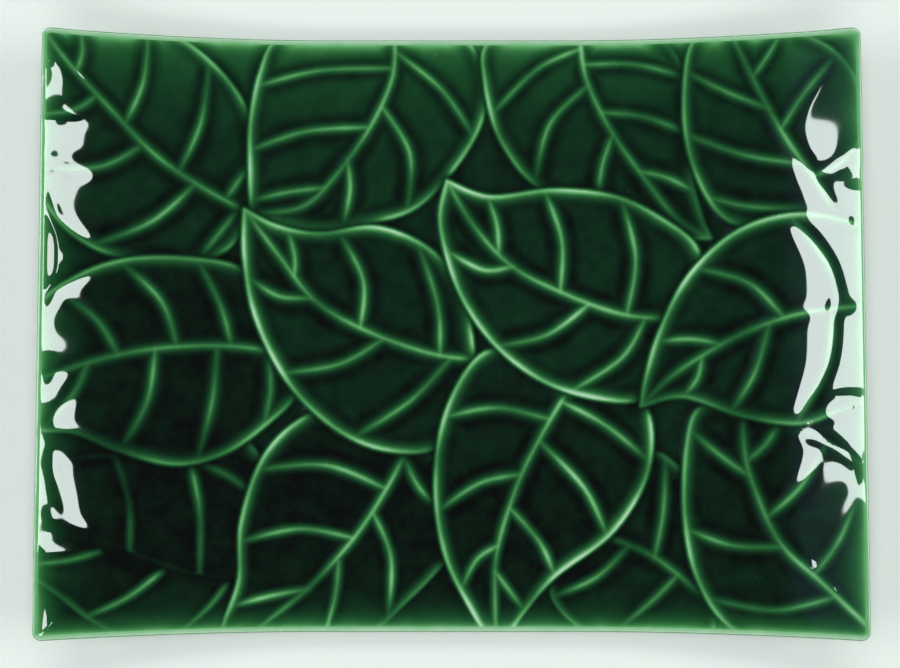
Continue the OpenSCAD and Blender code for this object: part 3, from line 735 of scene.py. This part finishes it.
    def _lay_leaves(self) -> None:
        """Lays the leaves over each other from the lowest up.

        Inside a leaf the ridges of margin, midrib and veins thin the glaze and swell its surface. Outside,
        the margin falls off steeply, and what lies below fades into a dark groove beside it.
        """
        ends = band(np.abs(self.x), self.end_band)
        height = self.ground_level - self.left_hollow * ends * (self.x < 0)
        thin = np.full(self.x.shape, self.ground_thinness)
        clear = np.ones(self.x.shape)
        uneven = 1 + self.uneven_share * self.unevenness(self.x, self.y)
        for k, leaf in enumerate(LEAVES):
            at = self._window(leaf)
            side = self.sides[(k,) + at]
            outer = np.maximum(-side, 0)
            *own, edge = self._leaf_field(leaf, self.x[at], self.y[at], np.maximum(side, 0), uneven[at])
            margin = self.blade_level + leaf.bold * self.margin_swell
            fall = swell(outer, self.margin_fall + self.end_fall * ends[at])
            groove = self.groove_depth * swell(outer - self.groove_place, self.groove_width)
            glow = self.crest_gain * edge * swell(outer, self.outer_glow)
            below = (height[at] * (1 - fall) + margin * fall - groove,
                     np.maximum(thin[at] * (1 - swell(outer, self.drown_reach)), glow),
                     np.minimum(clear[at], smoothstep(outer / self.outer_clear)))
            for whole, inside, outside in zip((height, thin, clear), own, below):
                whole[at] = np.where(side > 0, inside, outside)
        lip_fade = smoothstep(self.form.from_lip(self.x, self.y) / self.lip_reach)
        height = soften(height, self.flow / self.cell)
        self.rise = self.blade_level + (height - self.blade_level) * lip_fade + self.cove(self.x, self.y)
        self.thinness = blend((np.maximum(self._shade_front(thin), 0), self._rim_thinness(clear)), power=3)

    def _leaf_field(self, leaf: Leaf, x: Array, y: Array, inner: Array,
                    uneven: Array) -> tuple[Array, Array, Array, Array]:
        """Height and glaze thinness on one leaf.

        Args:
            leaf: The leaf.
            x: Plan positions along the length.
            y: Plan positions along the depth.
            inner: Distance in from the leaf's outline.
            uneven: Uneven pressing, about 1.

        Returns:
            Height over the slab, thinness, the share of clearance from the ridges, and the thinness on the
            crest of the nearest margin.
        """
        to_left, to_right = (curve_distance(leaf.curve(line), x, y)[0] for line in (leaf.left, leaf.right))
        share = smoothstep(0.5 + (to_right - to_left) / self.side_blend)
        edge = (leaf.crests.right + (leaf.crests.left - leaf.crests.right) * share) * uneven
        to_rib, along_rib = curve_distance(leaf.curve(leaf.midrib, MIDRIB_STEPS), x, y)
        inland = 1 - swell(inner, self.inland_width)
        taper = 1 - self.midrib_taper * along_rib
        rib = leaf.crests.midrib * taper * uneven
        ridges = [edge * ridge(inner, *self.margin_ridge), rib * ridge(to_rib, *self.rib_ridge)]
        swelling = (self.margin_swell * swell(inner, self.swell_width)
                    + self.midrib_swell * taper * inland * swell(to_rib, self.swell_width))
        nearest = np.minimum(inner, to_rib)
        for vein in leaf.veins:
            to_vein, along = curve_distance(smooth_curve(vein, VEIN_STEPS), x, y)
            root = smoothstep(1 - along / self.vein_root)
            fade = 1 - self.tip_loss * band(along, self.vein_tip) - self.root_loss * root
            ridges.append(leaf.crests.vein * fade * uneven * ridge(to_vein, *self.rib_ridge))
            swelling = swelling + (leaf.vein_bold * self.vein_swell * fade * inland
                                   * swell(to_vein, self.swell_width))
            nearest = np.minimum(nearest, to_vein)
        thin = self.crest_gain * blend(ridges) + leaf.panel * band(nearest, self.panel_band)
        return self.blade_level + leaf.bold * swelling, thin, band(nearest, self.clear_band), edge

    def _shade_front(self, thin: Array) -> Array:
        """Paints shade that grows to the front, most at the left and least at the right.

        One darker patch at the left dims the ridges, by its depth times exp(-(dx / rx)^4 - (dy / ry)^4).

        Args:
            thin: Thinness of the glaze over the leaves.

        Returns:
            The thinness, with brighter ridges except at the left, less a painted shade that grows to the
            front.
        """
        front = band(-self.y, self.front_band)
        left, right = (band(way * self.x, self.side_band) for way in (-1, 1))
        # Painted shade, growing to the front.
        run = self.front_painted_shade * front * (1 + self.left_shade_gain * left - self.right_shade_cut * right)
        (patch_x, patch_y), (reach_x, reach_y) = self.dark_patch_centre, self.dark_patch_reach
        dark_patch = np.exp(-((self.x - patch_x) / reach_x) ** 4 - ((self.y - patch_y) / reach_y) ** 4)
        return thin * (1 + self.front_gain * front * (1 - left)) * (1 - self.dark_patch_depth * dark_patch) - run

    def _rim_thinness(self, clear: Array) -> Array:
        """Thinness near the back, front and ends of the lip at that share of clearance from the ridges."""
        half_x, half_y = self.form.inner_half
        return blend((self.back_rim.thinness(half_y - self.y, clear),
                      self.front_rim.thinness(half_y + self.y, clear),
                      self.end_rim.thinness(half_x - np.abs(self.x), clear)))

    def _share_out(self, on_line: Array) -> None:
        """Splits the lattice into triangles and gives each to the topmost leaf over its centre.

        A cell is split along the diagonal that lies on an outline, so that leaves meet along smooth lines.

        Args:
            on_line: Mask of the points that lie on an outline.
        """
        a, b, c, d = cell_corners(np.arange(self.x.size).reshape(self.x.shape))
        line = on_line.ravel()
        other = (line[b] & line[d] & ~(line[a] & line[c]))[..., None]
        first = np.where(other, np.stack([a, b, d], -1), np.stack([a, b, c], -1))
        second = np.where(other, np.stack([b, c, d], -1), np.stack([a, c, d], -1))
        self.triangles = np.concatenate([first.reshape(-1, 3), second.reshape(-1, 3)])
        self.owner = np.full(len(self.triangles), Layer.GROUND.value)
        for k, side in enumerate(self.sides):
            self.owner[side.ravel()[self.triangles].mean(1) > 0] = k

    def surface(self) -> Patch:
        """The whole lattice on the glaze, with its points, normals and thinness."""
        return grid_patch(np.stack([self.x, self.y, self.form.face(self.x) + self.rise], -1), self.thinness)

    def patches(self, owner: int) -> list[Patch]:
        """Upper face, underside and walls of the cells that one leaf, or the ground, owns.

        Args:
            owner: Place of the leaf in LEAVES, or Layer.GROUND.

        Returns:
            Three patches that close on each other.
        """
        used, local = np.unique(self.triangles[self.owner == owner], return_inverse=True)
        local = local.reshape(-1, 3)
        whole = self.surface()
        top, thin = whole.points[used], whole.thinness[used]
        under = top.copy()
        under[:, 2] = self.form.face(top[:, 0]) + self.seat
        start, end = local.ravel(), local[:, [1, 2, 0]].ravel()
        count = len(used)
        border = ~np.isin(start * count + end, end * count + start)
        i, j = start[border], end[border]
        walls = np.concatenate([np.stack([i + count, j + count, j], 1), np.stack([i + count, j, i], 1)])
        return [Patch(top, local, whole.normals[used], thin),
                Patch(under, local[:, ::-1], None, thin),
                Patch(np.concatenate([top, under]), walls, None, np.concatenate([thin, thin]))]


@dataclass
class GlazedBody:
    """The moulded slab: the ground between the leaves, the thin rolled lip, the outer edge and the bottom.

    Thinness and a painted highlight are given at the first and last row of the lip, its round, the edge and
    the turn under it. Down the round the thinness falls, to paint shade along the outer edge. The highlight,
    the lip's round painted paler and its first rows darker, goes with the fourth power of the outward
    direction's x, so it shows at the two ends.
    """

    form: PlatterForm
    relief: Relief
    path_step: float = 2.0
    corner_steps: int = 10
    rows: int = 9
    lip_round: float = 0.9
    lip_fade: Point = (2.8, 5.0)
    slope_step: float = 0.1
    edge_lean: Point = (0.15, 0.3)
    edge_drop: Point = (1.6, 3.4)
    edge_round: float = 1.6
    seat_gap: float = 0.2
    # Down the round the thinness falls to paint shade along the outer edge; the pale lip rows are where the
    # glaze breaks thin.
    thinness: tuple[Point, ...] = ((0.84, 0.97), (0.86, 0.06), (0.1, 0.16), (0.2, 0.42))
    # Painted highlight at the two ends: the lip's round paler, its first rows darker.
    end_highlight: tuple[Point, ...] = ((-1.0, -0.8), (1.0, 0.4), (0.0, 0.0), (0.0, 0.0))
    end_highlight_gain: float = 0.14
    bottom_thinness: float = 0.2

    def build(self, material: Material) -> None:
        """Makes the slab's piece in its glaze."""
        patches = self.relief.patches(Layer.GROUND.value) + self._rim() + self._faces()
        make_piece("clay_slab", "glazed", patches, material)

    def _path(self) -> Path:
        """Path of the corner centres of the outline and its outward directions."""
        half_x, half_y = (size / 2 - self.form.corner for size in (self.form.length, self.form.depth))
        return rounded_path(half_x, half_y, self.path_step, self.corner_steps)

    def _carry(self, reach: Array, height: Array, thinness: Array) -> Patch:
        """Carries a section, with heights over the slab's face, round the outline."""
        return carry(self._path(), reach, lambda x: self.form.face(x) + height, thinness)

    def _rim(self) -> list[Patch]:
        """Lip and outer edge, where the glaze rolls over the lip, runs down the edge and turns under.

        From the lip's inner line on, the slope s of the face fades late over the width w up to the crest,
        with z = z0 + s (u - w (u / w)^n / n), where n grows from the left end to the right. Then come a
        quarter round, an edge that leans in a little and a quarter round.

        Returns:
            The rim, the two faces buried under the relief's border, and the border of the bottom.
        """
        form, relief = self.form, self.relief
        inner, crest = form.corner - form.lip, form.corner - self.lip_round
        width = crest - inner
        spots, ways = self._path()
        line, before = spots + inner * ways, spots + (inner - self.slope_step) * ways
        start = relief.blade_level + relief.cove(*line.T)
        top = form.face(line[:, 0]) + start
        rise = top - form.face(before[:, 0]) - relief.blade_level - relief.cove(*before.T)
        u = np.linspace(0, width, self.rows)[:, None]
        a = np.linspace(0, np.pi / 2, self.rows)[1:, None]
        late = self.lip_fade[0] + np.ptp(self.lip_fade) * smoothstep(0.5 + spots[:, 0] / form.depth)
        climb = top + rise / self.slope_step * (u - width * (u / width) ** late / late)
        lip_reach = np.concatenate([inner + u, crest + self.lip_round * np.sin(a)]) + 0 * start
        lip = np.concatenate([climb, climb[-1] - self.lip_round * (1 - np.cos(a))])
        lip -= form.face(spots[:, 0] + lip_reach * ways[:, 0])
        lean, drop = (np.array(pair)[:, None] for pair in (self.edge_lean, self.edge_drop))
        under = form.corner - self.edge_lean[1] - self.edge_round * (1 - np.cos(a))
        reach = np.concatenate([lip_reach, np.concatenate([form.corner - lean, under]) + 0 * start])
        low = np.concatenate([-drop, -form.slab + self.edge_round * (1 - np.sin(a))])
        height = np.concatenate([lip, low + 0 * start])
        counts = self.rows, self.rows - 1, len(lean), self.rows - 1
        thin, highlight = (np.concatenate([np.linspace(*span, count) for span, count in zip(spans, counts)])
                      for spans in (self.thinness, self.end_highlight))
        # Painted highlight on the lip's round at the two ends, with the lip's first rows painted darker
        # there.
        glaze = thin[:, None] + self.end_highlight_gain * highlight[:, None] * np.abs(ways[:, 0]) ** 4
        rim = self._carry(reach, height, glaze)
        seat = relief.seat - self.seat_gap
        buried = self._carry(np.array([[0.0], [inner]]), np.full((2, 1), seat), np.zeros(2))
        upright = np.stack([np.full(len(spots), seat), start])
        wall = self._carry(np.full((2, 1), inner), upright, np.zeros(2))
        bottom = self._carry(np.stack([reach[-1], 0 * reach[-1]]), np.full((2, 1), -form.slab),
                             np.array([self.thinness[-1][1], self.bottom_thinness]))
        return [rim, buried, wall, bottom]

    def _faces(self) -> list[Patch]:
        """Flat-laid faces inside the path.

        Returns:
            The seat under the leaves and the glazed underside.
        """
        spots, _ = self._path()
        x, y = np.meshgrid(np.unique(spots[:, 0]), np.unique(spots[:, 1]))
        thin = np.full(x.shape, self.bottom_thinness)
        return [grid_patch(np.stack([x, y, self.form.face(x) + height], -1), thin, flip=flip)
                for height, flip in ((self.relief.seat - self.seat_gap, False), (-self.form.slab, True))]


@dataclass
class LeafRelief:
    """The fourteen leaves, each as its own piece cut from the common relief."""

    relief: Relief

    def build(self, material: Material) -> None:
        """Makes one glazed piece for each leaf, the lowest first."""
        for k, leaf in enumerate(LEAVES):
            make_piece(f"leaf_{leaf.name}", "glazed", self.relief.patches(k), material)


@dataclass
class FootRing:
    """Low ring under the floor: a section with rounded edges, carried round a rounded rectangle."""

    form: PlatterForm
    length: float = 214.0
    depth: float = 164.0
    wall: float = 7.0
    corner: float = 20.0
    edge_round: float = 1.3
    buried: float = 0.3
    path_step: float = 3.0
    corner_steps: int = 16
    round_steps: int = 5

    def build(self, material: Material) -> None:
        """Makes the ring's piece.

        Args:
            material: Bare clay.
        """
        half_x, half_y = self.length / 2 - self.corner, self.depth / 2 - self.corner
        path = rounded_path(half_x, half_y, self.path_step, self.corner_steps)
        a = np.linspace(0, np.pi / 2, self.round_steps + 1)
        r, outer, inner = self.edge_round, self.corner, self.corner - self.wall
        reach = [[outer], outer - r + r * np.cos(a), inner + r - r * np.sin(a), [inner, outer]]
        low = [[np.nan], r - r * np.sin(a), r - r * np.cos(a), [np.nan, np.nan]]
        reach, low = np.concatenate(reach)[:, None], np.concatenate(low)[:, None]
        bare = np.zeros(len(reach))
        patch = carry(path, reach, lambda x: np.where(np.isnan(low), self._seat(x), low), bare)
        make_piece("foot_ring", "bare", [patch], material)

    def _seat(self, x: Array) -> Array:
        """Heights of the upper rows, which are buried a little in the slab."""
        return self.form.face(x) - self.form.slab + self.buried


@dataclass
class Recipe:
    """A material under way, whose patterns are measured in the object's own coordinates."""

    name: str
    material: Material = field(init=False)
    place: Socket = field(init=False)

    def __post_init__(self) -> None:
        """Starts the material with nothing but the coordinates."""
        self.material = bpy.data.materials.new(self.name)
        self.material.use_nodes = True
        self.material.node_tree.nodes.clear()
        self.place = self.node("ShaderNodeTexCoord").outputs["Object"]

    def node(self, kind: str, inputs: dict[str | int, object] | None = None,
             **settings: object) -> bpy.types.Node:
        """Adds a shader node with its settings, and sets or links its sockets.

        Args:
            kind: Blender's name for the node.
            inputs: Value, or the output socket to link, for each input.
            **settings: Attributes of the node.

        Returns:
            The node.
        """
        tree = self.material.node_tree
        node = tree.nodes.new(kind)
        for key, value in settings.items():
            setattr(node, key, value)
        for key, value in (inputs or {}).items():
            if isinstance(value, Socket):
                tree.links.new(value, node.inputs[key])
            else:
                node.inputs[key].default_value = value
        return node

    def noise(self, size_mm: float, detail: float, roughness: float = 0.5) -> Socket:
        """Cloudy noise, from 0 to 1, with clouds of that size."""
        return self.node("ShaderNodeTexNoise", {"Vector": self.place, "Scale": 1 / (size_mm * MM),
                                                "Detail": detail, "Roughness": roughness}).outputs["Fac"]

    def remap(self, value: Socket, source: Point, target: Point = (0.0, 1.0)) -> Socket:
        """Straight line from one range of values to another, held at its ends."""
        ends = zip(("From Min", "From Max", "To Min", "To Max"), source + target)
        return self.node("ShaderNodeMapRange", {"Value": value} | dict(ends)).outputs["Result"]

    def add(self, first: Socket, second: Socket) -> Socket:
        """Sum of two values."""
        return self.node("ShaderNodeMath", {0: first, 1: second}, operation="ADD").outputs["Value"]

    def mix(self, share: Socket, low: object, high: object) -> Socket:
        """Colour that goes from one to another, each a socket or a linear colour, as the share grows."""
        return self.node("ShaderNodeMix", {0: share, 6: low, 7: high}, data_type="RGBA").outputs[2]

    def bump(self, height: Socket, depth_mm: float) -> Socket:
        """Shading normal of a surface that is raised by the height times the depth."""
        return self.node("ShaderNodeBump", {"Height": height, "Strength": 1.0,
                                            "Distance": depth_mm * MM}).outputs["Normal"]

    def finish(self, inputs: dict[str | int, object]) -> Material:
        """The material, closed with a surface of these inputs."""
        self.node("ShaderNodeOutputMaterial", {
            "Surface": self.node("ShaderNodeBsdfPrincipled", inputs).outputs["BSDF"]})
        return self.material


@dataclass(frozen=True)
class GreenGlaze:
    """Transparent copper-green lead glaze, run over moulded earthenware and fired to a wet gloss.

    To the eye it is near black where it pools, bottle green on the leaf blades and pale where the ridges and
    the lip come through it.
    """

    stops: tuple[tuple[float, str], ...] = (
        (0.0, "#0c110f"), (0.083, "#10291b"), (0.2, "#184225"), (0.35, "#225931"), (0.45, "#2f6c3b"),
        (0.54, "#3e7e48"), (0.66, "#569d5e"), (0.75, "#68ac6f"), (0.84, "#7cbf86"), (0.93, "#9ecba3"),
        (1.0, "#b4d8b8"))
    mottle_mm: float = 9.0
    mottle_range: Point = (0.3, 0.7)
    mottle_gain: float = 0.03
    speck_mm: float = 11.0
    speck_radius_mm: float = 0.25
    speck_edge: Point = (0.5, 1.5)
    speck_gain: float = 0.3
    ripple_mm: float = 30.0
    ripple_depth_mm: float = 0.03
    roughness: float = 0.03
    refraction: float = 1.5
    coat_roughness: float = 0.02
    coat_refraction: float = 1.6

    def build(self) -> Material:
        """Makes the material, whose colour follows the thickness of the glaze.

        Returns:
            The material.
        """
        recipe = Recipe("green_lead_glaze")
        thin = recipe.node("ShaderNodeAttribute", attribute_name="glaze_thinness").outputs["Fac"]
        mottle = recipe.remap(recipe.noise(self.mottle_mm, detail=4.0, roughness=0.6), self.mottle_range,
                              (-self.mottle_gain, self.mottle_gain))
        cells = {"Vector": recipe.place, "Scale": 1 / (self.speck_mm * MM)}
        to_speck = recipe.node("ShaderNodeTexVoronoi", cells).outputs["Distance"]
        edge = tuple(share * self.speck_radius_mm / self.speck_mm for share in self.speck_edge)
        speck = recipe.remap(to_speck, edge, (self.speck_gain, 0.0))
        ramp = recipe.node("ShaderNodeValToRGB", {"Fac": recipe.add(thin, recipe.add(mottle, speck))})
        elements = ramp.color_ramp.elements
        while len(elements) < len(self.stops):
            elements.new(0.5)
        for element, (place, colour) in zip(elements, self.stops):
            element.position = place
            element.color = linear(colour)
        bump = recipe.bump(recipe.noise(self.ripple_mm, detail=0.0), self.ripple_depth_mm)
        return recipe.finish({
            "Base Color": ramp.outputs["Color"], "Roughness": self.roughness, "IOR": self.refraction,
            "Coat Weight": 1.0, "Coat Roughness": self.coat_roughness, "Coat IOR": self.coat_refraction,
            "Normal": bump, "Coat Normal": bump})


@dataclass(frozen=True)
class BareClay:
    """Fired buff earthenware, wiped free of glaze: chalky, a little grainy, with darker grog."""

    body: str = "#c7a184"
    shade: str = "#a98467"
    grog_mm: float = 1.2
    grain_mm: float = 0.1
    roughness: float = 0.85
    refraction: float = 1.5

    def build(self) -> Material:
        """Makes the material.

        Returns:
            The material.
        """
        recipe = Recipe("buff_earthenware")
        grog = recipe.noise(self.grog_mm, detail=6.0, roughness=0.7)
        colour = recipe.mix(grog, linear(self.shade), linear(self.body))
        return recipe.finish({"Base Color": colour, "Roughness": self.roughness, "IOR": self.refraction,
                              "Normal": recipe.bump(grog, self.grain_mm)})


@dataclass(frozen=True)
class PalePaper:
    """Matt white background paper with a faint cool tint, painted grey far from the platter as painted shade
    for a dim room.
    """

    tint: str = "#ecf3ee"
    fibre: str = "#eaf1ec"
    fibre_mm: float = 25.0
    far_painted_shade: str = "#78837f"
    fade_m: Point = (0.7, 2.6)
    roughness: float = 0.9
    gloss: float = 0.2

    def build(self) -> Material:
        """Makes the material.

        Returns:
            The material.
        """
        recipe = Recipe("background_paper")
        fibre = recipe.noise(self.fibre_mm, detail=5.0)
        near = recipe.mix(fibre, linear(self.fibre), linear(self.tint))
        reach = recipe.node("ShaderNodeVectorMath", {0: recipe.place}, operation="LENGTH").outputs["Value"]
        # Painted shade: the paper turns grey far from the platter.
        colour = recipe.mix(recipe.remap(reach, self.fade_m), near, linear(self.far_painted_shade))
        return recipe.finish({"Base Color": colour, "Roughness": self.roughness,
                              "Specular IOR Level": self.gloss})


@dataclass(frozen=True)
class SoftBox:
    """Rectangular soft light that faces straight down, its edges given as angles off the vertical.

    The angles, in degrees, are seen from a point on the table that lies seen_from metres along the length.
    """

    name: str
    seen_from: float
    lean_x: Point
    lean_y: Point
    radiance: float
    tint: str = "#ffffff"
    height: float = 3.5

    def build(self) -> None:
        """Makes the lamp, whose edges lie at the height times the tangents of the angles."""
        x, y = self.height * np.tan(np.radians((self.lean_x, self.lean_y)))
        x = x + self.seen_from
        lamp = bpy.data.lights.new(self.name, "AREA")
        lamp.shape = "RECTANGLE"
        lamp.size, lamp.size_y = np.ptp(x), np.ptp(y)
        lamp.energy = np.pi * lamp.size * lamp.size_y * self.radiance
        lamp.color = linear(self.tint)[:3]
        add_object(self.name, lamp).location = (x.mean(), y.mean(), self.height)


BOX_TINT, PANEL_TINT, PANEL_HEIGHT = "#f2fffb", "#a4ccf4", 3.6

# A soft box above each end and one before and behind, a dim cool panel that brightens in three strips to the
# left, and a fill beyond each end.
LAMPS: tuple[SoftBox, ...] = (
    SoftBox("left_soft_box", 0.15, (-16.9, -25.5), (-6.0, 14.4), 7.8, BOX_TINT),
    SoftBox("right_soft_box", -0.165, (20.1, 23.7), (-9.0, 17.0), 7.8, BOX_TINT),
    SoftBox("front_soft_box", 0.0, (-26.0, 26.0), (-32.0, -50.0), 4.0),
    SoftBox("back_soft_box", 0.0, (-26.0, 26.0), (32.0, 50.0), 4.0),
    SoftBox("cool_panel", 0.15, (-12.2, -13.4), (-26.0, 26.0), 0.04, PANEL_TINT, PANEL_HEIGHT),
    SoftBox("cool_panel", 0.15, (-13.4, -14.6), (-26.0, 26.0), 0.08, PANEL_TINT, PANEL_HEIGHT),
    SoftBox("cool_panel", 0.15, (-14.6, -36.0), (-26.0, 26.0), 0.12, PANEL_TINT, PANEL_HEIGHT),
    SoftBox("left_fill", 0.0, (-42.0, -54.0), (-25.0, 25.0), 6.9),
    SoftBox("right_fill", 0.0, (42.0, 54.0), (-25.0, 25.0), 6.9),
)


@dataclass(frozen=True)
class Studio:
    """Pale paper bowl round the platter, in metres, with its lamps, a dim ceiling and the camera."""

    floor_rings: tuple[float, ...] = (0.001, 0.4, 1.0, 1.7)
    floor_radius: float = 2.4
    wall_round: float = 0.9
    wall_height: float = 2.2
    sink: float = 0.0002
    cove_steps: int = 16
    turn_steps: int = 96
    ceiling_tint: str = "#c8d0d2"
    ceiling_strength: float = 0.012
    camera_distance: float = 0.520
    camera_tilt: float = 2.8
    focal_px: float = 1183.0
    centre_px: Point = (1.4, -1.4)

    def build(self, paper: Material) -> None:
        """Makes the backdrop, the lamps, the world and the camera.

        Args:
            paper: Material of the backdrop.
        """
        self._backdrop(paper)
        for lamp in LAMPS:
            lamp.build()
        self._ceiling()
        self._camera()

    def _backdrop(self, paper: Material) -> None:
        """Floor, cove and wall in one surface of revolution: a flat disc, a quarter round and an upright.

        Args:
            paper: Material of the backdrop.
        """
        a = np.linspace(0, np.pi / 2, self.cove_steps + 1)
        wall = self.floor_radius + self.wall_round
        radius = np.concatenate([self.floor_rings, self.floor_radius + self.wall_round * np.sin(a), [wall]])
        height = np.concatenate([0 * np.array(self.floor_rings), self.wall_round * (1 - np.cos(a)),
                                 [self.wall_height]]) - self.sink
        turn = np.linspace(0, 2 * np.pi, self.turn_steps + 1)[:-1]
        points = np.stack([radius[:, None] * np.cos(turn), radius[:, None] * np.sin(turn),
                           np.repeat(height[:, None], len(turn), 1)], -1)
        patch = grid_patch(points, np.zeros(points.shape[:2]), closed=True, flip=True)
        mesh = bpy.data.meshes.new("backdrop")
        mesh.from_pydata(patch.points.tolist(), [], patch.triangles.tolist())
        mesh.shade_smooth()
        mesh.materials.append(paper)
        backdrop = add_object("backdrop", mesh)
        LOG.info("stage backdrop: %d triangles", len(patch.triangles))

    def _ceiling(self) -> None:
        """Dim grey room light from above the paper."""
        world = bpy.data.worlds.new("dim_ceiling")
        world.use_nodes = True
        background = world.node_tree.nodes["Background"]
        background.inputs["Color"].default_value = linear(self.ceiling_tint)
        background.inputs["Strength"].default_value = self.ceiling_strength
        bpy.context.scene.world = world

    def _camera(self) -> None:
        """Camera above the floor's centre, tilted a little from the front, with the photograph's framing."""
        tilt = np.radians(self.camera_tilt)
        floor = PlatterForm().face(np.zeros(1))[0] * MM
        lens = bpy.data.cameras.new("camera")
        lens.sensor_fit = "HORIZONTAL"
        lens.sensor_width = SENSOR_MM
        lens.lens = self.focal_px / IMAGE_WIDTH * SENSOR_MM
        lens.shift_x = -self.centre_px[0] / IMAGE_WIDTH
        lens.shift_y = self.centre_px[1] / IMAGE_WIDTH
        camera = add_object("camera", lens)
        back, up = self.camera_distance * np.sin(tilt), self.camera_distance * np.cos(tilt)
        camera.location = (0, -back, floor + up)
        camera.rotation_euler = (tilt, 0, 0)
        bpy.context.scene.camera = camera


def main() -> None:
    """Builds the platter piece by piece, then the studio round it."""
    logging.basicConfig(level=logging.INFO, format="%(name)s %(message)s")
    bpy.context.scene.view_settings.view_transform = "Standard"
    form = PlatterForm()
    relief = Relief(form)
    glaze = GreenGlaze().build()
    GlazedBody(form, relief).build(glaze)
    LeafRelief(relief).build(glaze)
    FootRing(form).build(BareClay().build())
    Studio().build(PalePaper().build())


if __name__ == "__main__":
    main()
